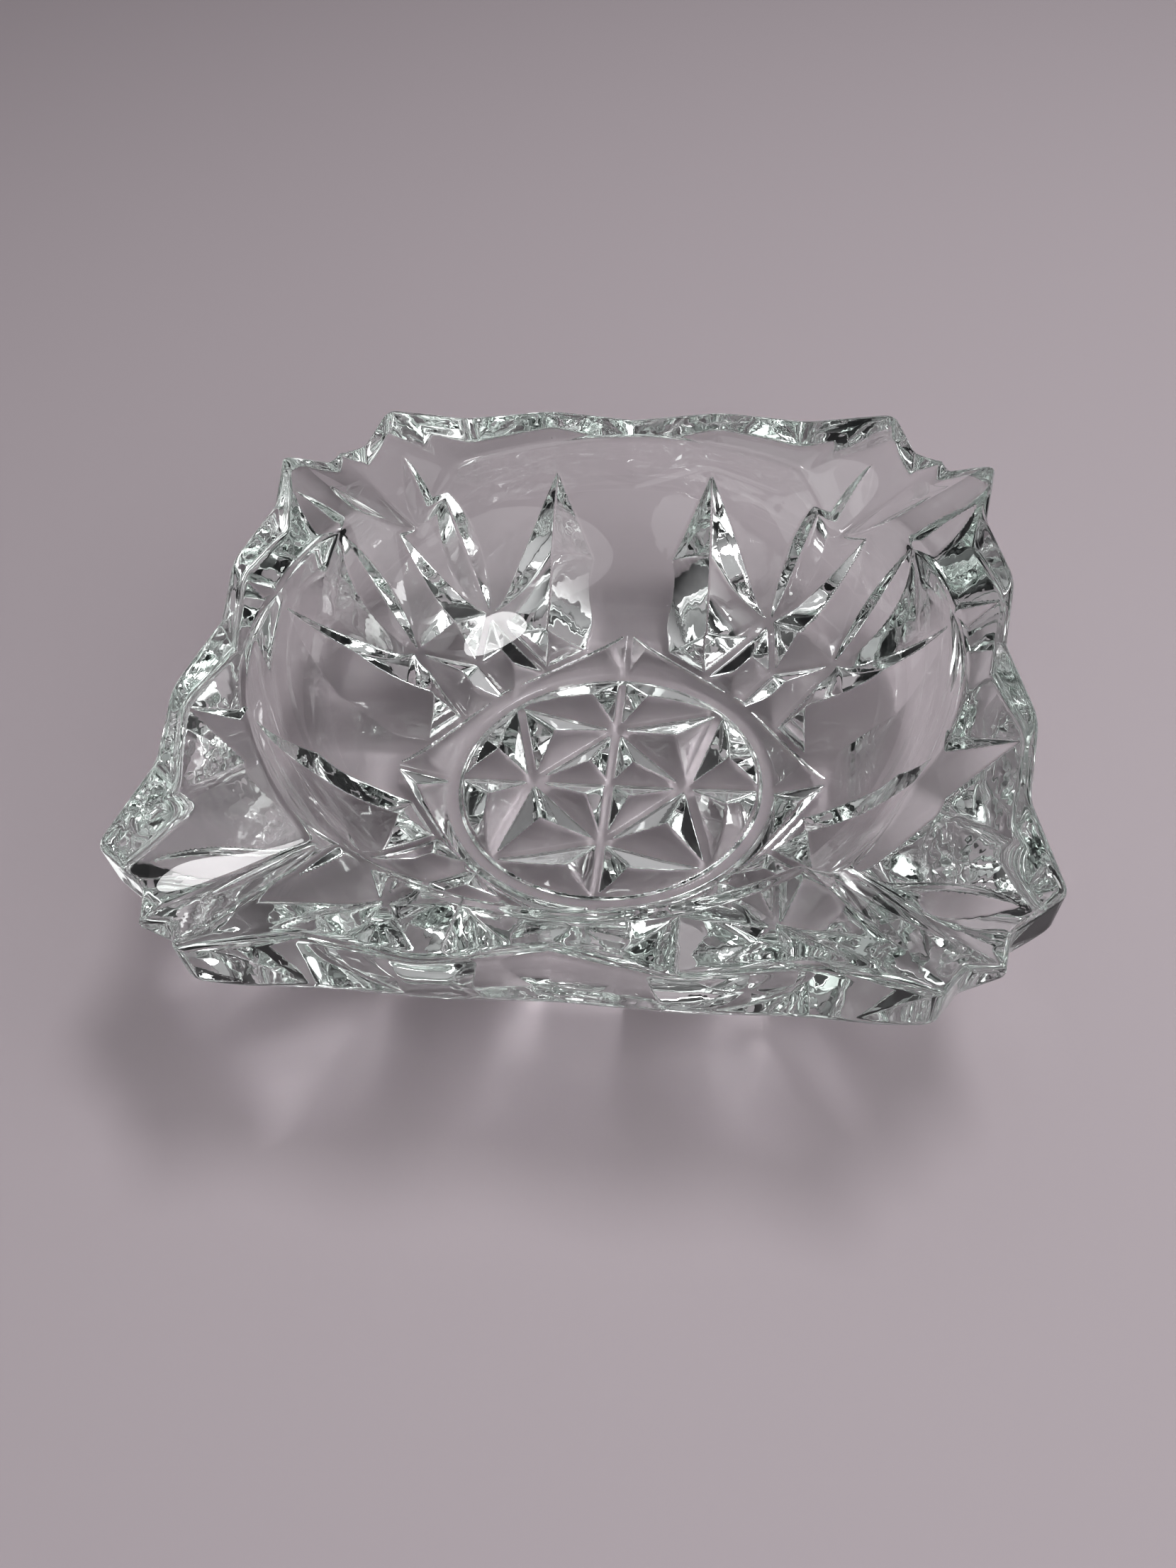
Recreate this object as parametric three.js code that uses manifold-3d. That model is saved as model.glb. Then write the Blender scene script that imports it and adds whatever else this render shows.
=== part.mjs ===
// A square pressed-glass ashtray, in millimetres, +Z up, standing on z = 0 and centred on the Z axis.
// One solid piece of glass: a round smooth bowl in a square block with zigzag sides, a V-shaped rest
// at each corner, and a cut pattern of flat-sided pits all over the underside.
import * as THREE from "three";
import { ConvexGeometry } from "three/addons/geometries/ConvexGeometry.js";
import { mergeVertices } from "three/addons/utils/BufferGeometryUtils.js";
import Module from "manifold-3d";

// Overall sizes
const HALF_WIDTH = 75; // centre to the crests of a side, at the rim
const HEIGHT = 47;
const BASE_SHARE = 0.951; // outline of the zigzag wall at z = 0 as a share of the one at the rim

// Zigzag wall
const PRONG_AT = 55.7; // from the middle of a side to the prong at its end
const VALLEY_DEPTH = 3.4;
const CORNER_NOTCH = 63; // x and y of the notch between the two prongs of a corner
const CREST_FLAT = 0.8; // half width of the blunt tip of a crest or a prong

// Bowl
const BOWL_RADIUS = 63.5;
const FLOOR_RADIUS = 28;
const FLOOR_Z = 12.7;
const BOWL_POWER = 2.05;

// Underside: a foot, a shallow cone round it, and eight sloping sides that cut the wall off below
const FOOT_RADIUS = 33;
const SHOULDER_Z = 32.6;
const SHOULDER = 71; // half width across the sides at the shoulder height
const SHOULDER_DIAGONAL = 87.1; // the same along a diagonal
const SIDE_SLOPE = 1.2;
const CORNER_SLOPE = 0.92;
const CONE_SLOPE = 0.34;

// Medallion under the foot
const RING_RADIUS = 30.4;
const RECESS = 1.9;
const STAR_NODE = 15.6; // centre to the four inner nodes of the star lattice
const PIT_DEPTH = 3.8;
const LATTICE_WIDTH = 1.4; // flat strip left between two pits

// Corner rests, measured along the diagonal: [distance from the axis, half width, depth]
const REST_INNER = [45, 11.3, 13.4];
const REST_OUTER = [98, 13.9, 5];

// Pattern nodes on the outer body, as [x, y] in the sector between +Y and the diagonal
const SIDE_NODE = [0, 46.5];
const RING_AXIS = [0, 33.4];
const RING_DIAGONAL = [23.6, 23.6];
const KITE_TIP = [18.4, 74];
const KITE_FOOT = [17.6, 33.4];
const KITE_SIDE = [33.2, 47.8];
const LOW_NODE = [33.4, 33.4];
const CORNER_TIP = [60, 60];
const PRONG_TIP = [50, 71.5];
const LEAF_LEFT = [38, 62.1];
const LEAF_RIGHT = [45.2, 57.1];
const PATTERN_SHARE = 0.95; // a pit's size against its cell, which leaves a strip between pits

// How far into the glass the deepest point of each pit lies, as [x, y, depth]
const KITE_APEX = [17.7, 43, 8.6];
const RING_APEX = [5.4, 38, 2.6];
const LOW_APEX = [26.6, 37, 2.8];
const CORNER_APEX = [38.5, 38.5, 6.8];
const LEAF_APEX = [41.6, 59.6, 5.4];

const BODY_SEGMENTS = 72;
const PROFILE_STEPS = 12;
const FAR = 4; // how far a cutter reaches past the surface, in pit sizes

const wasm = await Module();
wasm.setup();
const { Manifold, Mesh } = wasm;

// ---- joining and cutting ----

function toSolid(geometry) {
  const bare = geometry.clone();
  bare.deleteAttribute("normal");
  bare.deleteAttribute("uv");
  const merged = mergeVertices(bare, 1e-4);
  return new Manifold(
    new Mesh({
      numProp: 3,
      vertProperties: new Float32Array(merged.attributes.position.array),
      triVerts: new Uint32Array(merged.index.array),
    }),
  );
}

function toGeometry(solid) {
  const mesh = solid.getMesh();
  const geometry = new THREE.BufferGeometry();
  geometry.setAttribute("position", new THREE.BufferAttribute(mesh.vertProperties, 3));
  geometry.setIndex(new THREE.BufferAttribute(mesh.triVerts, 1));
  geometry.computeVertexNormals();
  return geometry;
}

// ---- the outer body ----

// Height of a sloping side over a point, from its distance across that side.
function sideZ(distance) {
  return SHOULDER_Z + SIDE_SLOPE * (distance - SHOULDER);
}

function cornerZ(distance) {
  return SHOULDER_Z + CORNER_SLOPE * (distance - SHOULDER_DIAGONAL);
}

// Height of the uncut underside over a point.
function bodyZ(x, y) {
  const across = Math.max(Math.abs(x), Math.abs(y));
  const diagonal = (Math.abs(x) + Math.abs(y)) * Math.SQRT1_2;
  const cone = CONE_SLOPE * (Math.hypot(x, y) - FOOT_RADIUS);
  return Math.max(0, cone, sideZ(across), cornerZ(diagonal));
}

// Where the cone meets the sloping sides in one direction from the axis.
function kneePoint(turn) {
  const x = Math.cos(turn);
  const y = Math.sin(turn);
  const across = Math.max(Math.abs(x), Math.abs(y));
  const diagonal = (Math.abs(x) + Math.abs(y)) * Math.SQRT1_2;
  const foot = CONE_SLOPE * FOOT_RADIUS;
  const toSide = (SIDE_SLOPE * SHOULDER - SHOULDER_Z - foot) / (SIDE_SLOPE * across - CONE_SLOPE);
  const toCorner =
    (CORNER_SLOPE * SHOULDER_DIAGONAL - SHOULDER_Z - foot) / (CORNER_SLOPE * diagonal - CONE_SLOPE);
  const reach = Math.min(toSide, toCorner);
  return new THREE.Vector3(x * reach, y * reach, CONE_SLOPE * (reach - FOOT_RADIUS));
}

// The convex block between the sloping sides, up past the rim.
function outerBody() {
  const top = HEIGHT + 1;
  const side = SHOULDER + (top - SHOULDER_Z) / SIDE_SLOPE;
  const diagonal = SHOULDER_DIAGONAL + (top - SHOULDER_Z) / CORNER_SLOPE;
  const end = diagonal * Math.SQRT2 - side;
  const points = [];
  [-1, 1].forEach((a) => {
    [-1, 1].forEach((b) => {
      points.push(new THREE.Vector3(a * side, b * end, top));
      points.push(new THREE.Vector3(a * end, b * side, top));
    });
  });
  for (let i = 0; i < BODY_SEGMENTS; i++) {
    const turn = ((i + 0.5) / BODY_SEGMENTS) * 2 * Math.PI;
    const x = FOOT_RADIUS * Math.cos(turn);
    const y = FOOT_RADIUS * Math.sin(turn);
    points.push(new THREE.Vector3(x, y, 0));
    points.push(kneePoint(turn));
  }
  return toSolid(new ConvexGeometry(points));
}

// ---- the zigzag wall ----

// Corners of one side and the notch after it, from left prong to right prong along +Y.
function sideOutline() {
  const step = PRONG_AT / 3;
  const points = [];
  for (let i = -3; i <= 3; i++) {
    const isCrest = Math.abs(i) % 2 === 1;
    if (isCrest) {
      points.push([i * step - CREST_FLAT, HALF_WIDTH]);
      points.push([i * step + CREST_FLAT, HALF_WIDTH]);
    } else {
      points.push([i * step, HALF_WIDTH - VALLEY_DEPTH]);
    }
  }
  points.push([CORNER_NOTCH, CORNER_NOTCH]);
  return points;
}

// The zigzag outline from z = 0 to the rim, a little narrower below.
function wallBlock() {
  const corners = [];
  for (let side = 0; side < 4; side++) {
    const turn = (-side * Math.PI) / 2;
    sideOutline().forEach(([x, y]) => {
      corners.push(new THREE.Vector2(x, y).rotateAround(new THREE.Vector2(), turn));
    });
  }
  const outline = new THREE.Shape(corners);
  const block = new THREE.ExtrudeGeometry(outline, { depth: HEIGHT, bevelEnabled: false });
  const position = block.attributes.position;
  for (let i = 0; i < position.count; i++) {
    const share = position.getZ(i) < 1 ? BASE_SHARE : 1;
    position.setX(i, position.getX(i) * share);
    position.setY(i, position.getY(i) * share);
  }
  return toSolid(block);
}

// ---- the bowl and the corner rests ----

// Steps of a rounded corner that leaves flat and ends upright, as [outward share, upward share].
function quarterSteps(power, steps) {
  return Array.from({ length: steps + 1 }, (_, i) => {
    const turn = (i / steps) * (Math.PI / 2);
    const out = Math.sin(turn) ** (2 / power);
    return [out, 1 - (1 - out ** power) ** (1 / power)];
  });
}

function bowl() {
  const profile = [new THREE.Vector2(0, FLOOR_Z)];
  quarterSteps(BOWL_POWER, PROFILE_STEPS).forEach(([out, up]) => {
    const radius = FLOOR_RADIUS + out * (BOWL_RADIUS - FLOOR_RADIUS);
    profile.push(new THREE.Vector2(radius, FLOOR_Z + up * (HEIGHT - FLOOR_Z)));
  });
  profile.push(new THREE.Vector2(BOWL_RADIUS, HEIGHT + 5));
  profile.push(new THREE.Vector2(0, HEIGHT + 5));
  const lathe = new THREE.LatheGeometry(profile, BODY_SEGMENTS, Math.PI / BODY_SEGMENTS);
  lathe.rotateX(Math.PI / 2);
  return toSolid(lathe);
}

// A V-shaped trough along the diagonal of the corner at +X +Y.
function cornerRest() {
  const along = new THREE.Vector3(1, 1, 0).normalize();
  const across = new THREE.Vector3(1, -1, 0).normalize();
  const points = [];
  [REST_INNER, REST_OUTER].forEach(([distance, halfWidth, depth]) => {
    const valley = along.clone().multiplyScalar(distance).setZ(HEIGHT - depth);
    points.push(valley);
    [-1, 1].forEach((side) => {
      const lift = new THREE.Vector3(0, 0, depth).addScaledVector(across, side * halfWidth);
      points.push(valley.clone().addScaledVector(lift, 1.5));
    });
  });
  return toSolid(new ConvexGeometry(points));
}

// ---- pits of the cut pattern ----

// A pyramid from its apex out through its corners and on past the surface.
function pit(apex, corners, share) {
  const centre = new THREE.Vector3();
  corners.forEach((c) => centre.addScaledVector(c, 1 / corners.length));
  const points = [apex];
  corners.forEach((c) => {
    const corner = centre.clone().lerp(c, share);
    points.push(apex.clone().addScaledVector(corner.sub(apex), FAR));
  });
  return toSolid(new ConvexGeometry(points));
}

function onBody([x, y]) {
  return new THREE.Vector3(x, y, bodyZ(x, y));
}

function underBody([x, y, depth]) {
  return new THREE.Vector3(x, y, bodyZ(x, y) + depth);
}

const swap = ([x, y, ...rest]) => [y, x, ...rest];

// The pits between +Y and the diagonal; the kite on the diagonal is whole.
function bodyPits() {
  const kite = [KITE_TIP, SIDE_NODE, KITE_FOOT, KITE_SIDE].map(onBody);
  const ring = [SIDE_NODE, RING_AXIS, RING_DIAGONAL].map(onBody);
  const low = [KITE_FOOT, KITE_SIDE, LOW_NODE, RING_DIAGONAL].map(onBody);
  const corner = [KITE_SIDE, LOW_NODE, swap(KITE_SIDE), CORNER_TIP].map(onBody);
  const leaf = [KITE_SIDE, LEAF_LEFT, PRONG_TIP, LEAF_RIGHT].map(onBody);
  return [
    pit(underBody(KITE_APEX), kite, PATTERN_SHARE),
    pit(underBody(RING_APEX), ring, PATTERN_SHARE),
    pit(underBody(LOW_APEX), low, PATTERN_SHARE),
    pit(underBody(CORNER_APEX), corner, PATTERN_SHARE),
    pit(underBody(LEAF_APEX), leaf, PATTERN_SHARE),
  ];
}

// Centre of the circle that fits in a triangle, and its radius.
function inCircle([a, b, c]) {
  const sides = [b.distanceTo(c), c.distanceTo(a), a.distanceTo(b)];
  const around = sides[0] + sides[1] + sides[2];
  const centre = new THREE.Vector3();
  [a, b, c].forEach((p, i) => centre.addScaledVector(p, sides[i] / around));
  return { centre, radius: (2 * new THREE.Triangle(a, b, c).getArea()) / around };
}

// One pyramid pit of the star lattice, with a strip left round it.
function latticePit(corners) {
  const { centre, radius } = inCircle(corners);
  const inset = corners.map((c) => centre.clone().lerp(c, 1 - LATTICE_WIDTH / 2 / radius));
  return pit(centre.clone().setZ(RECESS + PIT_DEPTH), inset, 1);
}

function medallionPits() {
  const at = (x, y) => new THREE.Vector3(x, y, RECESS);
  const diagonal = (RING_RADIUS - LATTICE_WIDTH / 2) * Math.SQRT1_2;
  const top = at(0, STAR_NODE);
  const right = at(STAR_NODE, 0);
  const outer = at(diagonal, diagonal);
  return [
    latticePit([at(0, 0), top, right]),
    latticePit([top, right, outer]),
    latticePit([top, at(0, RING_RADIUS), outer]),
    latticePit([right, at(RING_RADIUS, 0), outer]),
  ];
}

// A disc on the axis, half of it above z = 0 and half below.
function disc(radius, thickness) {
  const cylinder = new THREE.CylinderGeometry(radius, radius, thickness, BODY_SEGMENTS);
  cylinder.rotateX(Math.PI / 2);
  return toSolid(cylinder);
}

// ---- the ashtray ----

function cutAllRound(solid, cutters) {
  let result = solid;
  for (let quarter = 0; quarter < 4; quarter++) {
    cutters.forEach((cutter) => {
      result = result.subtract(cutter.rotate([0, 0, 90 * quarter]));
    });
  }
  return result;
}

function glassBody() {
  const foot = disc(FOOT_RADIUS, 2 * SHOULDER_Z);
  const halfPits = bodyPits().map((cutter) => cutter.subtract(foot));
  const mirrored = halfPits.map((cutter) => cutter.mirror([1, -1, 0]));
  let solid = wallBlock().intersect(outerBody()).subtract(bowl());
  solid = solid.subtract(disc(RING_RADIUS, 2 * RECESS));
  solid = cutAllRound(solid, [cornerRest()]);
  solid = cutAllRound(solid, [...halfPits, ...mirrored]);
  const recess = disc(RING_RADIUS, 2 * SHOULDER_Z);
  solid = cutAllRound(solid, medallionPits().map((cutter) => cutter.intersect(recess)));
  return toGeometry(solid);
}

const glass = new THREE.MeshStandardMaterial({ color: 0xdfe8e2, roughness: 0.04, metalness: 0 });
glass.transparent = true;
glass.opacity = 0.35;

const body = new THREE.Mesh(glassBody(), glass);
body.name = "glass_body";

const ashtray = new THREE.Group();
ashtray.add(body);

export default ashtray;
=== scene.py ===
# Blender scene: a square pressed-glass ashtray on a pale floor.
# The glass is one surface, found where a distance-like function of its shape is zero. The function works
# in millimetres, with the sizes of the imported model, and the mesh is scaled to metres.
import math

import bpy
import numpy as np
from mathutils import Matrix, Vector


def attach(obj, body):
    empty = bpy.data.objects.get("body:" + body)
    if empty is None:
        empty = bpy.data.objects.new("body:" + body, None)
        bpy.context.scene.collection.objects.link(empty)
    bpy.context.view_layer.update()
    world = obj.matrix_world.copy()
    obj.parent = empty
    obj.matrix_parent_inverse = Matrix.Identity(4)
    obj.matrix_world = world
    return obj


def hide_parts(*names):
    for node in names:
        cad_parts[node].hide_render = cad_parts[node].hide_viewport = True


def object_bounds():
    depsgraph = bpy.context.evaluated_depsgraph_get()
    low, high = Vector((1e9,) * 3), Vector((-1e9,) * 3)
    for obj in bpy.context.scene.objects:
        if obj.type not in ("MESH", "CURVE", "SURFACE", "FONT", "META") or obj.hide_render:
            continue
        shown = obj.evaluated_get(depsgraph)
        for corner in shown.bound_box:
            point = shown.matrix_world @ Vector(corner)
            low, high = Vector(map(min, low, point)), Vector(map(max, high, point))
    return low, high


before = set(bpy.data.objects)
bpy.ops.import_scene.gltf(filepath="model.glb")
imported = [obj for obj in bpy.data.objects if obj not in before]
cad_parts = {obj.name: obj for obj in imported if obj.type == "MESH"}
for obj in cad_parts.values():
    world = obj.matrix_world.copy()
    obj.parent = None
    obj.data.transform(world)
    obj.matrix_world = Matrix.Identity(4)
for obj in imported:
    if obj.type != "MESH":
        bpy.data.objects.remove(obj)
CAD_LOW, CAD_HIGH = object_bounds()
MM = 0.001

# ---- sizes, in millimetres ----
# Every place is given in one eighth of the plan: u is the smaller of |x| and |y|, and v is the larger.
HALF_WIDTH = round(CAD_HIGH[0] / MM, 3)
HEIGHT = round(CAD_HIGH[2] / MM, 3)

# The zigzag wall: the height of its lower edge, the share by which it narrows down to there, the place of
# its prongs, the depth of its valleys and the place of its corner notches.
BAND_BOTTOM = 32.6
BAND_DRAFT = 0.015
PRONG_AT = 55.7
VALLEY_DEPTH = 3.4
CORNER_NOTCH = 63.0

# The bowl, from its flat floor to its upright rim.
BOWL_RADIUS = 63.5
FLOOR_RADIUS = 28.0
FLOOR_Z = 12.7
BOWL_POWER = 2.05

# The underside: the foot, the dome round it, and the slopes up to the wall at the sides and corners.
FOOT_RADIUS = 33.0
SHOULDER = 71.0
SHOULDER_CORNER = 61.6
SIDE_SLOPE = 1.2
CORNER_SLOPE = 0.92
DOME_SLOPE = 0.34

# The recess under the foot, and the lattice on its ceiling.
RING_RADIUS = 30.4
RECESS = 1.9
RECESS_DRAFT = 0.25
STAR_NODE = 15.6
STAR_SLOPE = 0.78
LATTICE_HALF = 0.75
LATTICE_RIM = 0.5

# A rest's section at its inner and outer end: the place on the diagonal, half the width and the depth.
# A keel is how far the deepest line of a rest or groove is rounded.
REST_INNER = (45.0, 11.3, 13.4)
REST_OUTER = (98.0, 13.9, 5.0)
REST_LEAST_DEPTH = 0.5
REST_ROUNDING = 0.62
REST_KEEL = 0.002

# The nodes of the cut pattern round the foot, as (u, v), and points inside its pits.
SIDE_NODE = (0.0, 46.5)
RING_DIAGONAL = (23.4, 23.4)
KITE_TIP = (18.4, 74.0)
KITE_FOOT = (17.6, 33.4)
KITE_SIDE = (33.2, 47.8)
LOW_NODE = (33.4, 33.4)
CORNER_TIP = (60.0, 60.0)
PRONG_TIP = (50.0, 71.5)
IN_KITE = (18.0, 50.0)
IN_RING_PIT = (0.0, 30.0)
IN_STAR_PIT = (26.0, 37.0)
IN_CORNER_KITE = (45.0, 45.0)
IN_RIM_PIT = (6.0, 24.0)

# How steeply the facets rise from the edges of their pits.
KITE_TIP_SLOPE = 1.2
KITE_FOOT_SLOPE = 2.6
KITE_RIDGE_SLOPE = 1.2
RING_SIDE_SLOPE = 0.7
RING_KITE_SLOPE = 1.6
RING_FOOT_SLOPE = 0.42
STAR_PIT_SLOPE = 0.9
CORNER_LOW_SLOPE = 1.8
CORNER_TIP_SLOPE = 0.75
CORNER_RIDGE_SLOPE = 0.5
LEAF_SLOPE = 1.3
LEAF_HALF = 4.4
LEAF_KEEL = 0.04
STRIP_HALF = 0.7
FOOT_STRIP = 0.3
THINNEST = 2.4

# Widths over which two surfaces round into each other.
ROUND_UNDER_CORNERS = 4.0
ROUND_UNDER_DOME = 2.0
ROUND_FOOT = 0.3
ROUND_PIT = 0.4
ROUND_PIT_EDGE = 0.3
ROUND_LATTICE_PIT = 0.35
ROUND_LATTICE_EDGE = 0.25
ROUND_CREST = 1.2
ROUND_PRONG = 1.6
ROUND_VALLEY = 0.8
ROUND_WALL_FOOT = 1.0
ROUND_RIM = 1.8
ROUND_REST = 1.2
ROUND_BOWL = 1.6
ROUND_RECESS = 0.4

# The share of a height difference that counts as the distance to each sloping surface.
UNDERSIDE_SHARE = 0.7
CEILING_SHARE = 0.85
REST_SHARE = 0.8

DIAGONAL = math.sqrt(0.5)
TINY = 1e-6
STEP = 0.5


# ---- smooth joins ----
def smooth_max(a, b, width):
    near = np.maximum(width - np.abs(a - b), 0.0)
    return np.maximum(a, b) + near * near / (4.0 * width)


def smooth_min(a, b, width):
    return -smooth_max(-a, -b, width)


def rounded_profile(out, up, length_out, length_up, power):
    """About the distance outside a curve that leaves flat and ends upright."""
    s = np.maximum(out, 0.0)
    t = np.maximum(1.0 - up, 0.0)
    rho = np.maximum((s**power + t**power) ** (1.0 / power), TINY)
    slope_out = (s / rho) ** (power - 1.0) / length_out
    slope_up = (t / rho) ** (power - 1.0) / length_up
    return (rho - 1.0) / np.maximum(np.hypot(slope_out, slope_up), TINY)


# ---- the underside: its height over each point, which the cuts raise ----
def side_height(v):
    return SIDE_SLOPE * (v - SHOULDER) + BAND_BOTTOM


def corner_height(u, v):
    return CORNER_SLOPE * (u + v - 2.0 * SHOULDER_CORNER) * DIAGONAL + BAND_BOTTOM


def dome_height(u, v):
    return DOME_SLOPE * (np.hypot(u, v) - FOOT_RADIUS)


def body_height(u, v):
    height = smooth_max(side_height(v), corner_height(u, v), ROUND_UNDER_CORNERS)
    height = smooth_max(height, dome_height(u, v), ROUND_UNDER_DOME)
    return smooth_max(height, np.zeros_like(u), ROUND_FOOT)


def bowl_height(u, v):
    out = np.clip((np.hypot(u, v) - FLOOR_RADIUS) / (BOWL_RADIUS - FLOOR_RADIUS), 0.0, 1.0)
    return HEIGHT - (HEIGHT - FLOOR_Z) * (1.0 - out**BOWL_POWER) ** (1.0 / BOWL_POWER)


def roof(heights, width=ROUND_PIT):
    """The lowest of several slopes: the facets of one pit."""
    low = heights[0]
    for height in heights[1:]:
        low = smooth_min(low, height, width)
    return low


def under_bowl(u, v):
    """The deepest that a cut may go while it leaves the thinnest glass under the bowl."""
    return bowl_height(u, v) - THINNEST - body_height(u, v)


def deepest(u, pits, width):
    """The depth of the deepest pit over each point, or zero between the pits."""
    depth = np.zeros_like(u)
    for pit in pits:
        depth = smooth_max(depth, pit, width)
    return depth


def from_edge(u, v, start, end, inside, strip_half=STRIP_HALF):
    """Distance from a flat strip along the line start-end, rising towards the point inside."""
    ex, ey = end[0] - start[0], end[1] - start[1]
    length = math.hypot(ex, ey)
    nx, ny = -ey / length, ex / length
    if nx * (inside[0] - start[0]) + ny * (inside[1] - start[1]) < 0:
        nx, ny = -nx, -ny
    return nx * (u - start[0]) + ny * (v - start[1]) - strip_half


def leaf_depth(u, v):
    """A lens-shaped groove from the kite's outer corner to the prong."""
    run = (PRONG_TIP[0] - KITE_SIDE[0], PRONG_TIP[1] - KITE_SIDE[1])
    length = math.hypot(*run)
    along = ((u - KITE_SIDE[0]) * run[0] + (v - KITE_SIDE[1]) * run[1]) / length**2
    across = ((u - KITE_SIDE[0]) * run[1] - (v - KITE_SIDE[1]) * run[0]) / length
    share = np.clip(along, 0.0, 1.0)
    half = LEAF_HALF * 4.0 * share * (1.0 - share)
    return LEAF_SLOPE * (half - np.sqrt(across * across + LEAF_KEEL))


def kite_depth(u, v):
    """A kite with its tip at a crest of the wall, and a ridge from the tip to the foot ring."""
    return roof([
        KITE_TIP_SLOPE * from_edge(u, v, KITE_TIP, SIDE_NODE, IN_KITE),
        KITE_TIP_SLOPE * from_edge(u, v, KITE_TIP, KITE_SIDE, IN_KITE),
        KITE_FOOT_SLOPE * from_edge(u, v, SIDE_NODE, KITE_FOOT, IN_KITE),
        KITE_FOOT_SLOPE * from_edge(u, v, KITE_SIDE, KITE_FOOT, IN_KITE),
        under_bowl(u, v) - KITE_RIDGE_SLOPE * np.abs(u - KITE_FOOT[0]),
    ])


def ring_pit_depth(u, v):
    """Half of the pit between two kites, beside the foot ring."""
    return roof([
        RING_SIDE_SLOPE * (u - STRIP_HALF),
        RING_KITE_SLOPE * from_edge(u, v, SIDE_NODE, KITE_FOOT, IN_RING_PIT),
        RING_FOOT_SLOPE * (np.hypot(u, v) - FOOT_RADIUS - FOOT_STRIP),
    ])


def star_pit_depth(u, v):
    """The pit between a kite, the diagonal and the foot ring."""
    return roof([
        STAR_PIT_SLOPE * from_edge(u, v, KITE_FOOT, KITE_SIDE, IN_STAR_PIT),
        STAR_PIT_SLOPE * from_edge(u, v, KITE_SIDE, LOW_NODE, IN_STAR_PIT),
        STAR_PIT_SLOPE * from_edge(u, v, LOW_NODE, RING_DIAGONAL, IN_STAR_PIT),
        STAR_PIT_SLOPE * from_edge(u, v, RING_DIAGONAL, KITE_FOOT, IN_STAR_PIT),
        STAR_PIT_SLOPE * (np.hypot(u, v) - FOOT_RADIUS - FOOT_STRIP),
    ])


def corner_kite_depth(u, v):
    """Half of the kite on the diagonal, which has a ridge along it."""
    return roof([
        CORNER_LOW_SLOPE * from_edge(u, v, KITE_SIDE, LOW_NODE, IN_CORNER_KITE),
        CORNER_TIP_SLOPE * from_edge(u, v, KITE_SIDE, CORNER_TIP, IN_CORNER_KITE),
        under_bowl(u, v) - CORNER_RIDGE_SLOPE * (v - u),
    ])


def pattern_depth(u, v):
    """How far the cuts go up into the body."""
    cuts = (kite_depth, ring_pit_depth, star_pit_depth, corner_kite_depth, leaf_depth)
    return deepest(u, [cut(u, v) for cut in cuts], ROUND_PIT_EDGE)


def underside_field(u, v, z):
    return (body_height(u, v) + pattern_depth(u, v) - z) * UNDERSIDE_SHARE


# ---- the recess under the foot, with the pits of the star lattice in its ceiling ----
def triangle_pit(u, v, corners):
    centre = (sum(c[0] for c in corners) / 3, sum(c[1] for c in corners) / 3)
    facets = []
    for i in range(3):
        start, end = corners[i], corners[(i + 1) % 3]
        facets.append(STAR_SLOPE * from_edge(u, v, start, end, centre, LATTICE_HALF))
    return roof(facets, ROUND_LATTICE_PIT)


def rim_pit(u, v, node, rim_node):
    return roof([
        STAR_SLOPE * from_edge(u, v, node, (0.0, RING_RADIUS), IN_RIM_PIT),
        STAR_SLOPE * from_edge(u, v, node, rim_node, IN_RIM_PIT),
        STAR_SLOPE * (RING_RADIUS - LATTICE_RIM - np.hypot(u, v)),
    ], ROUND_LATTICE_PIT)


def medallion_depth(u, v):
    rim_node = (RING_RADIUS * DIAGONAL, RING_RADIUS * DIAGONAL)
    far, near = (0.0, STAR_NODE), (STAR_NODE, 0.0)
    pits = [
        triangle_pit(u, v, [(0.0, 0.0), far, near]),
        triangle_pit(u, v, [far, near, rim_node]),
        rim_pit(u, v, far, rim_node),
    ]
    return deepest(u, pits, ROUND_LATTICE_EDGE)


def medallion_void(u, v, z):
    """Negative inside the recess and its pits."""
    ceiling = (z - RECESS - medallion_depth(u, v)) * CEILING_SHARE
    return np.maximum(np.hypot(u, v) - RING_RADIUS - RECESS_DRAFT * (RECESS - z), ceiling)


# ---- the zigzag wall ----
def wall_field(u, v, z):
    """Negative inside the crest or the prong. The crest's outer slope fills a part of the notch too."""
    draft = 1.0 - BAND_DRAFT * (HEIGHT - z) / (HEIGHT - BAND_BOTTOM)
    u, v = u / draft, v / draft
    step = PRONG_AT / 3.0
    slant = math.hypot(step, VALLEY_DEPTH)
    rise = VALLEY_DEPTH / slant
    run = step / slant
    crest = smooth_max(
        (v - HALF_WIDTH) * run + (u - step) * rise,
        (v - HALF_WIDTH) * run - (u - step) * rise,
        ROUND_CREST,
    )
    notch = math.hypot(HALF_WIDTH - CORNER_NOTCH, CORNER_NOTCH - PRONG_AT)
    nx, ny = (HALF_WIDTH - CORNER_NOTCH) / notch, (CORNER_NOTCH - PRONG_AT) / notch
    prong = smooth_max(
        (v - HALF_WIDTH) * run - (u - PRONG_AT) * rise,
        (v - HALF_WIDTH) * ny + (u - PRONG_AT) * nx,
        ROUND_PRONG,
    )
    return smooth_min(crest, prong, ROUND_VALLEY)


# ---- the bowl and the rests ----
def bowl_field(u, v, z):
    """Positive in the glass round the bowl."""
    width = BOWL_RADIUS - FLOOR_RADIUS
    depth = HEIGHT - FLOOR_Z
    out = (np.hypot(u, v) - FLOOR_RADIUS) / width
    up = (z - FLOOR_Z) / depth
    return rounded_profile(out, up, width, depth, BOWL_POWER)


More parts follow.
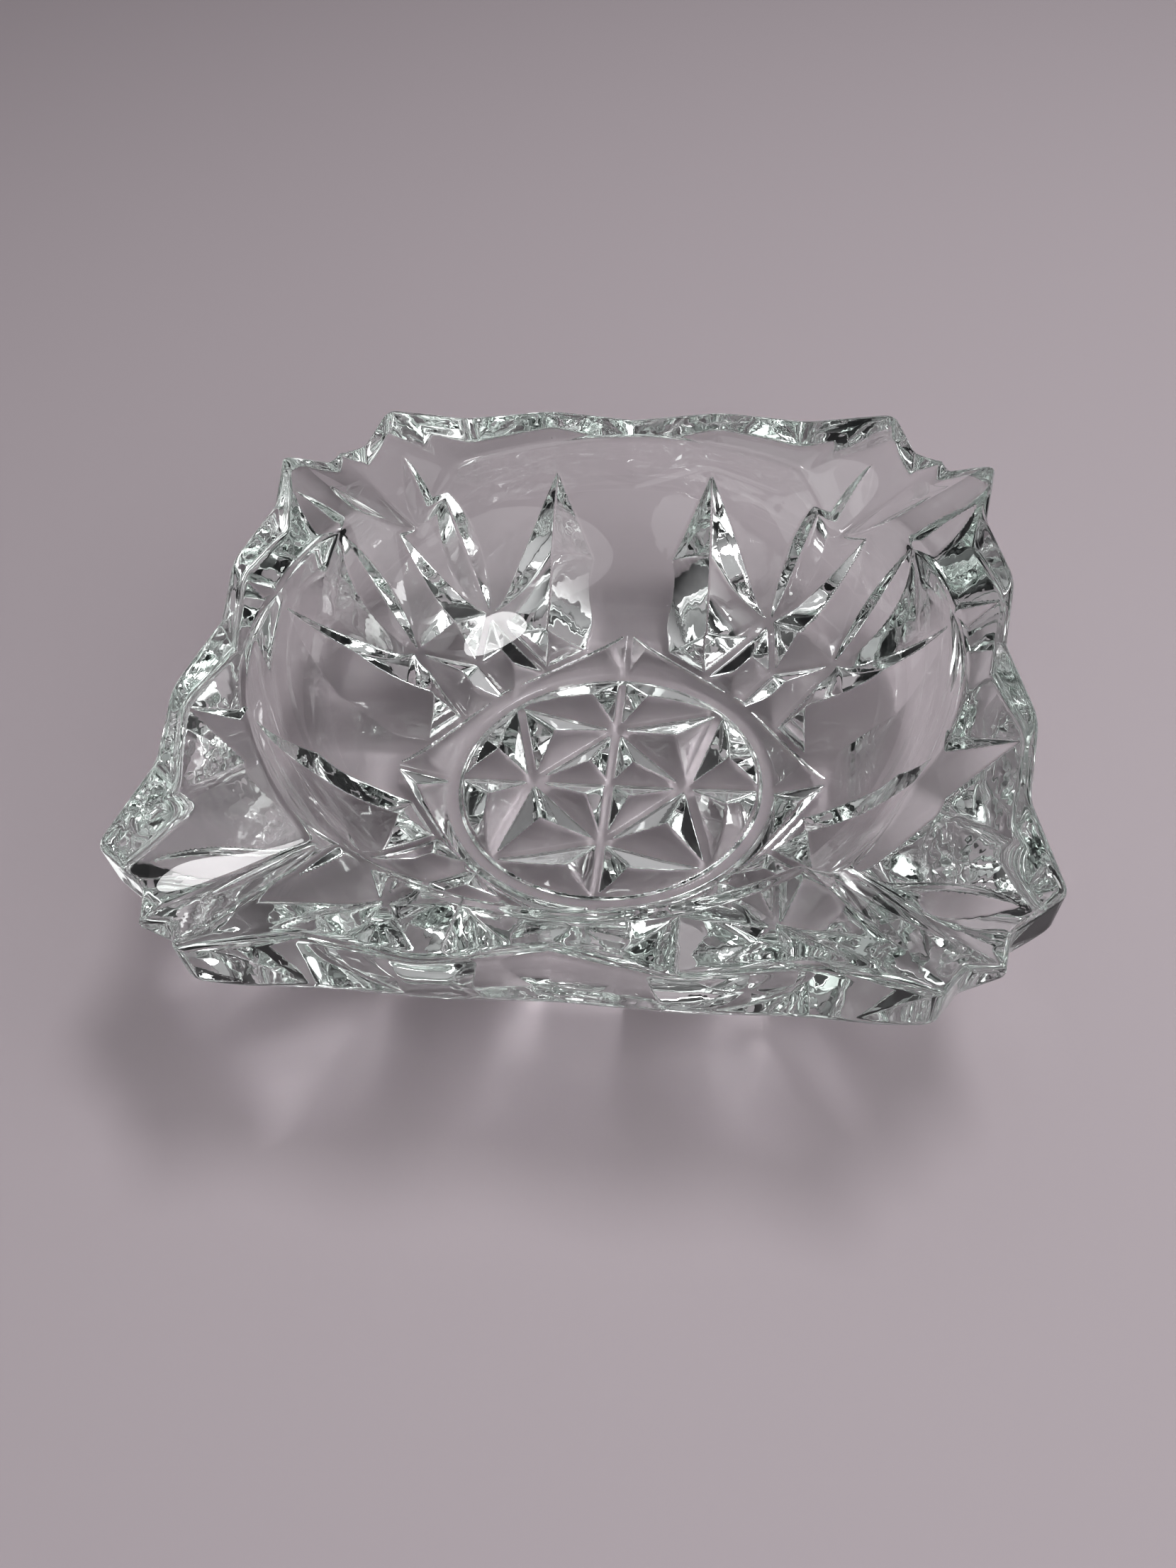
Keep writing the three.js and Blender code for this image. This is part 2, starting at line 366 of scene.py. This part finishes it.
def rest_field(u, v, z):
    """Positive above the V-shaped trough on the diagonal."""
    along = (u + v) * DIAGONAL
    across = (v - u) * DIAGONAL
    share = (along - REST_INNER[0]) / (REST_OUTER[0] - REST_INNER[0])
    half = REST_INNER[1] + share * (REST_OUTER[1] - REST_INNER[1])
    depth = np.maximum(REST_INNER[2] + share * (REST_OUTER[2] - REST_INNER[2]), REST_LEAST_DEPTH)
    floor = HEIGHT - depth * (1.0 - (across * across / half**2 + REST_KEEL) ** REST_ROUNDING)
    return (z - floor) * REST_SHARE


# ---- the whole glass ----
def folded(points):
    """The places (u, v, z) of points, all in the same eighth of the plan."""
    x, y = np.abs(points[:, 0]), np.abs(points[:, 1])
    return np.minimum(x, y), np.maximum(x, y), points[:, 2]


def glass_field(points):
    """About the distance outside the glass, and negative in it."""
    u, v, z = folded(points)
    solid = smooth_max(wall_field(u, v, z), underside_field(u, v, z), ROUND_WALL_FOOT)
    solid = smooth_max(solid, z - HEIGHT, ROUND_RIM)
    solid = smooth_max(solid, rest_field(u, v, z), ROUND_REST)
    solid = smooth_max(solid, -bowl_field(u, v, z), ROUND_BOWL)
    return smooth_max(solid, -medallion_void(u, v, z), ROUND_RECESS)


# ---- from field to mesh ----
# The grid goes past the glass by MARGIN, and starts where none of its levels lies on a flat face. COARSE is
# the coarse grid's step in fine ones, and the fine grid reaches COARSE_REACH coarse steps from the surface.
MARGIN = 1.5
LOWEST_LEVEL = -0.83
COARSE = 4
COARSE_REACH = 1.8
CORNERS = [(i, j, k) for i in range(2) for j in range(2) for k in range(2)]


def spread(array, times):
    """Repeats every entry of a three-way array along all three ways."""
    for axis in range(3):
        array = np.repeat(array, times, axis)
    return array


def sample_grid(step):
    """The field on a grid that is the same on both sides of x = 0 and y = 0, with its first point.

    It is worked out on a coarse grid first, and then finely near the surface only.
    """
    count = int(math.ceil((HALF_WIDTH + MARGIN) / step))
    half = (np.arange(count) + 0.5) * step
    levels = np.arange(LOWEST_LEVEL, HEIGHT + MARGIN, step)
    size = (count, count, len(levels))
    places = np.meshgrid(*[np.arange(0, n + COARSE, COARSE) for n in size], indexing="ij")
    index = np.stack(places, -1)
    start = np.array([0.5 * step, 0.5 * step, levels[0]])
    coarse = glass_field(start + index.reshape(-1, 3) * step).reshape(index.shape[:3])
    close = np.abs(coarse) < COARSE * step * COARSE_REACH
    n0, n1, n2 = (n - 1 for n in coarse.shape)
    near = np.zeros((n0, n1, n2), bool)
    for i, j, k in CORNERS:
        near |= close[i:n0 + i, j:n1 + j, k:n2 + k]
    grid = spread(coarse[:-1, :-1, :-1], COARSE)[:count, :count, :len(levels)].copy()
    fine = spread(near, COARSE)[:count, :count, :len(levels)]
    where = np.argwhere(fine)
    grid[fine] = glass_field(np.stack([half[where[:, 0]], half[where[:, 1]], levels[where[:, 2]]], 1))
    full = np.concatenate([grid[::-1], grid], 0)
    full = np.concatenate([full[:, ::-1], full], 1)
    return full, np.array([-half[-1], -half[-1], levels[0]])


def surface_net(field, origin, step):
    """Points and quads of the surface where the field is zero, with a point in each cell it crosses."""
    inside = field < 0
    count = np.zeros(tuple(n - 1 for n in field.shape), np.int8)
    n0, n1, n2 = count.shape
    for i, j, k in CORNERS:
        count += inside[i:n0 + i, j:n1 + j, k:n2 + k]
    active = (count > 0) & (count < len(CORNERS))
    number = np.full(count.shape, -1, np.int64)
    cells = np.argwhere(active)
    number[active] = np.arange(len(cells))
    total = np.zeros((len(cells), 3))
    hits = np.zeros(len(cells))
    for a in CORNERS:
        for axis in range(3):
            if a[axis]:
                continue
            b = list(a)
            b[axis] = 1
            fa = field[tuple((cells + a).T)]
            fb = field[tuple((cells + b).T)]
            crossed = (fa < 0) != (fb < 0)
            share = np.where(crossed, fa / np.where(crossed, fa - fb, 1.0), 0.0)
            place = np.array(a, float) + share[:, None] * (np.array(b) - np.array(a))
            total += place * crossed[:, None]
            hits += crossed
    points = origin + step * (cells + total / hits[:, None])
    quads = []
    for axis in range(3):
        ends = [slice(None)] * 3
        starts = [slice(None)] * 3
        starts[axis], ends[axis] = slice(None, -1), slice(1, None)
        first, second = inside[tuple(starts)], inside[tuple(ends)]
        edges = np.argwhere(first != second)
        one, two = [a for a in range(3) if a != axis]
        corner = []
        for da, db in ((0, 0), (-1, 0), (-1, -1), (0, -1)):
            at = edges.copy()
            at[:, one] += da
            at[:, two] += db
            corner.append(number[tuple(at.T)])
        quad = np.stack(corner, 1)
        outwards = first[tuple(edges.T)]
        if axis == 1:
            outwards = ~outwards
        quad[~outwards] = quad[~outwards][:, ::-1]
        quads.append(quad)
    return points, np.concatenate(quads)


def gradient(points, reach):
    """The field at points, and how steeply it rises along each axis."""
    base = glass_field(points)
    slopes = []
    for axis in range(3):
        moved = points.copy()
        moved[:, axis] += reach
        slopes.append((glass_field(moved) - base) / reach)
    return base, np.stack(slopes, 1)


# The moves, and how far a point may end from where it started, are in steps of the grid.
SETTLE_ROUNDS = 3
SETTLE_REACH = 0.02
FACING_REACH = 0.05
LEAST_SLOPE_SQUARED = 0.05
LONGEST_MOVE = 0.5
FARTHEST_FROM_START = 0.8


def settle(points, step):
    """Moves points onto the surface, and returns them with the directions it faces."""
    start = points.copy()
    longest = LONGEST_MOVE * step
    farthest = FARTHEST_FROM_START * step
    for _ in range(SETTLE_ROUNDS):
        value, slope = gradient(points, SETTLE_REACH)
        size = np.maximum((slope**2).sum(1), LEAST_SLOPE_SQUARED)
        move = -(value / size)[:, None] * slope
        points = points + np.clip(move, -longest, longest)
        points = start + np.clip(points - start, -farthest, farthest)
    _, slope = gradient(points, FACING_REACH)
    return points, slope / np.linalg.norm(slope, axis=1, keepdims=True)


RIPPLE_ON_TOP = 0.05
RIPPLE_ON_MEDALLION = 0.2
RIPPLE_OUTSIDE = 0.6
RIM_DEPTH = 1.0
CLOSE_TO_BOWL = 0.6
CLOSE_TO_REST = 0.5
OVER_MEDALLION = 4.0


def mould_ripple(points):
    """How strongly the mould's ripple shows: most on the outside, hardly in the bowl and on the rim."""
    u, v, z = folded(points)
    rim = z > HEIGHT - RIM_DEPTH
    bowl = np.abs(bowl_field(u, v, z)) < CLOSE_TO_BOWL
    rest = np.abs(rest_field(u, v, z)) < CLOSE_TO_REST
    medallion = (np.hypot(u, v) < FOOT_RADIUS) & (z < FLOOR_Z - OVER_MEDALLION)
    below = np.where(medallion, RIPPLE_ON_MEDALLION, RIPPLE_OUTSIDE)
    return np.where(rim | bowl | rest, RIPPLE_ON_TOP, below)


def quad_mesh(name, points, quads):
    mesh = bpy.data.meshes.new(name)
    mesh.vertices.add(len(points))
    mesh.vertices.foreach_set("co", (points * MM).astype(np.float32).ravel())
    mesh.loops.add(quads.size)
    mesh.loops.foreach_set("vertex_index", quads.astype(np.int32).ravel())
    mesh.polygons.add(len(quads))
    mesh.polygons.foreach_set("loop_start", np.arange(0, quads.size, 4, dtype=np.int32))
    mesh.update(calc_edges=True)
    mesh.validate()
    return mesh


def make_glass():
    field, origin = sample_grid(STEP)
    points, quads = surface_net(field, origin, STEP)
    points, normals = settle(points, STEP)
    points = np.clip(points, np.array(CAD_LOW) / MM, np.array(CAD_HIGH) / MM)
    mesh = quad_mesh("pressed_glass", points, quads)
    mesh.polygons.foreach_set("use_smooth", np.ones(len(mesh.polygons), bool))
    mesh.normals_split_custom_set_from_vertices(normals.astype(np.float32))
    mould = mesh.attributes.new("mould", "FLOAT", "POINT")
    mould.data.foreach_set("value", mould_ripple(points).astype(np.float32))
    glass = bpy.data.objects.new("pressed_glass", mesh)
    bpy.context.scene.collection.objects.link(glass)
    return glass


# ---- materials ----
GLASS_IOR = 1.52
GLASS_TINT = (0.76, 0.84, 0.80, 1)
GLASS_DENSITY = 8.0
RIPPLE_SCALE = 170.0
RIPPLE_DETAIL = 2.0
SWELL_SCALE = 75.0
SWELL_DETAIL = 1.0
SWELL_SHARE = 3.0
RIPPLE_HEIGHT = 0.0001
FLOOR_COLOUR = (0.58, 0.525, 0.553, 1)
FLOOR_ROUGHNESS = 0.9
FLOOR_SPECULAR = 0.1


def new_material(name):
    material = bpy.data.materials.new(name)
    material.use_nodes = True
    return material, material.node_tree.nodes, material.node_tree.links


def add_noise(nodes, scale, detail):
    noise = nodes.new("ShaderNodeTexNoise")
    noise.inputs["Scale"].default_value = scale
    noise.inputs["Detail"].default_value = detail
    return noise


def glass_material():
    """Clear refracting glass with a weak grey-green tint, and the mould's ripple as a bump."""
    material, nodes, links = new_material("clear_glass")
    shader = nodes["Principled BSDF"]
    shader.inputs["Base Color"].default_value = (1, 1, 1, 1)
    shader.inputs["Transmission Weight"].default_value = 1.0
    shader.inputs["Roughness"].default_value = 0.0
    shader.inputs["IOR"].default_value = GLASS_IOR
    place = nodes.new("ShaderNodeTexCoord")
    ripple = add_noise(nodes, RIPPLE_SCALE, RIPPLE_DETAIL)
    swell = add_noise(nodes, SWELL_SCALE, SWELL_DETAIL)
    both = nodes.new("ShaderNodeMath")
    both.operation = "MULTIPLY_ADD"
    both.inputs[1].default_value = SWELL_SHARE
    bump = nodes.new("ShaderNodeBump")
    bump.inputs["Distance"].default_value = RIPPLE_HEIGHT
    mould = nodes.new("ShaderNodeAttribute")
    mould.attribute_name = "mould"
    links.new(place.outputs["Object"], ripple.inputs["Vector"])
    links.new(place.outputs["Object"], swell.inputs["Vector"])
    links.new(swell.outputs[0], both.inputs[0])
    links.new(ripple.outputs[0], both.inputs[2])
    links.new(both.outputs[0], bump.inputs["Height"])
    links.new(mould.outputs["Fac"], bump.inputs["Strength"])
    links.new(bump.outputs[0], shader.inputs["Normal"])
    absorb = nodes.new("ShaderNodeVolumeAbsorption")
    absorb.inputs["Color"].default_value = GLASS_TINT
    absorb.inputs["Density"].default_value = GLASS_DENSITY
    links.new(absorb.outputs[0], nodes["Material Output"].inputs["Volume"])
    return material


def floor_material():
    material, nodes, _ = new_material("pale_floor")
    shader = nodes["Principled BSDF"]
    shader.inputs["Base Color"].default_value = FLOOR_COLOUR
    shader.inputs["Roughness"].default_value = FLOOR_ROUGHNESS
    shader.inputs["Specular IOR Level"].default_value = FLOOR_SPECULAR
    return material


# ---- studio, in metres ----
FLOOR_REACH = 0.75
FLOOR_DROP = 0.0002
FLOOR_SIDES = 96


def add_floor():
    """A round floor, which stays a hair's breadth below the foot."""
    mesh = bpy.data.meshes.new("floor")
    turns = [2.0 * math.pi * i / FLOOR_SIDES for i in range(FLOOR_SIDES)]
    rim = [(FLOOR_REACH * math.cos(t), FLOOR_REACH * math.sin(t), -FLOOR_DROP) for t in turns]
    mesh.from_pydata(rim, [], [tuple(range(FLOOR_SIDES))])
    floor = bpy.data.objects.new("floor", mesh)
    bpy.context.scene.collection.objects.link(floor)
    floor.data.materials.append(floor_material())


LAMP_TARGET = (0, 0, 0.02)


def add_lamp(name, place, long_way, size, power):
    """An oval lamp that shines at the glass. Its second size runs along long_way."""
    data = bpy.data.lights.new(name, "AREA")
    data.shape = "ELLIPSE"
    data.size, data.size_y = size
    data.energy = power
    light = bpy.data.objects.new(name, data)
    away = (Vector(place) - Vector(LAMP_TARGET)).normalized()
    side = Vector(long_way).cross(away).normalized()
    turn = Matrix((side, away.cross(side), away)).transposed().to_4x4()
    light.matrix_world = Matrix.Translation(place) @ turn
    bpy.context.scene.collection.objects.link(light)


LOW_SKY = (0.015, 0.015, 0.016, 1)
MIDDLE_SKY = (0.03, 0.03, 0.031, 1)
MIDDLE_SKY_AT = 0.55
HIGH_SKY = (0.42, 0.412, 0.42, 1)


def add_world():
    """A dim room: dark at floor level and lighter overhead."""
    world = bpy.data.worlds.new("studio")
    bpy.context.scene.world = world
    world.use_nodes = True
    nodes, links = world.node_tree.nodes, world.node_tree.links
    place = nodes.new("ShaderNodeTexCoord")
    parts = nodes.new("ShaderNodeSeparateXYZ")
    ramp = nodes.new("ShaderNodeValToRGB")
    stops = ramp.color_ramp.elements
    stops[0].position = 0.0
    stops[0].color = LOW_SKY
    stops[1].position = 1.0
    stops[1].color = HIGH_SKY
    middle = stops.new(MIDDLE_SKY_AT)
    middle.color = MIDDLE_SKY
    links.new(place.outputs["Generated"], parts.inputs[0])
    links.new(parts.outputs["Z"], ramp.inputs[0])
    links.new(ramp.outputs[0], nodes["Background"].inputs["Color"])
    nodes["Background"].inputs["Strength"].default_value = 1.0


# The camera's place, in half widths of the glass, from the axis at the wall's lower edge: how far back it
# stands, and how far to its own right and up. Then its azimuth, elevation and roll in degrees.
CAMERA_DISTANCE = 3.3467
CAMERA_SIDE = (-0.0396, -0.2389)
CAMERA_TURN = (9.7204, 46.141, -4.6408)
CAMERA_LENS = 30.627
CAMERA_SENSOR = 36.0
CAMERA_CLIP = 0.01


def add_camera():
    azimuth, elevation, roll = (math.radians(a) for a in CAMERA_TURN)
    back = Vector((
        math.sin(azimuth) * math.cos(elevation),
        -math.cos(azimuth) * math.cos(elevation),
        math.sin(elevation),
    ))
    right = (-back).cross(Vector((0, 0, 1))).normalized()
    up = right.cross(-back)
    across = math.cos(roll) * right + math.sin(roll) * up
    upright = -math.sin(roll) * right + math.cos(roll) * up
    place = back * CAMERA_DISTANCE + across * CAMERA_SIDE[0] + upright * CAMERA_SIDE[1]
    place = place * HALF_WIDTH * MM + Vector((0, 0, BAND_BOTTOM * MM))
    data = bpy.data.cameras.new("camera")
    data.lens = CAMERA_LENS
    data.sensor_width = CAMERA_SENSOR
    data.clip_start = CAMERA_CLIP
    camera = bpy.data.objects.new("camera", data)
    turn = Matrix((across, upright, back)).transposed().to_4x4()
    camera.matrix_world = Matrix.Translation(place) @ turn
    bpy.context.scene.collection.objects.link(camera)
    bpy.context.scene.camera = camera


def set_light_paths():
    """Enough bounces for light to cross the cut glass, and a plain contrasty picture."""
    scene = bpy.context.scene
    scene.cycles.max_bounces = 24
    scene.cycles.transmission_bounces = 24
    scene.cycles.glossy_bounces = 12
    scene.cycles.blur_glossy = 0.3
    scene.cycles.sample_clamp_indirect = 0.0
    scene.cycles.use_denoising = True
    scene.view_settings.view_transform = "Standard"
    scene.view_settings.look = "High Contrast"


# ---- the scene ----
add_camera()
glass = make_glass()
glass.data.materials.append(glass_material())
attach(glass, "root")
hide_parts("glass_body")
add_floor()
add_world()
add_lamp("lamp", place=(0.30, 0.19, 1.03), long_way=(0.48, -0.88, 0), size=(0.23, 0.44), power=2.0)
add_lamp("side_lamp", place=(0.75, -0.55, 0.85), long_way=(0, 0, 1), size=(1.9, 1.9), power=8.6)
set_light_paths()
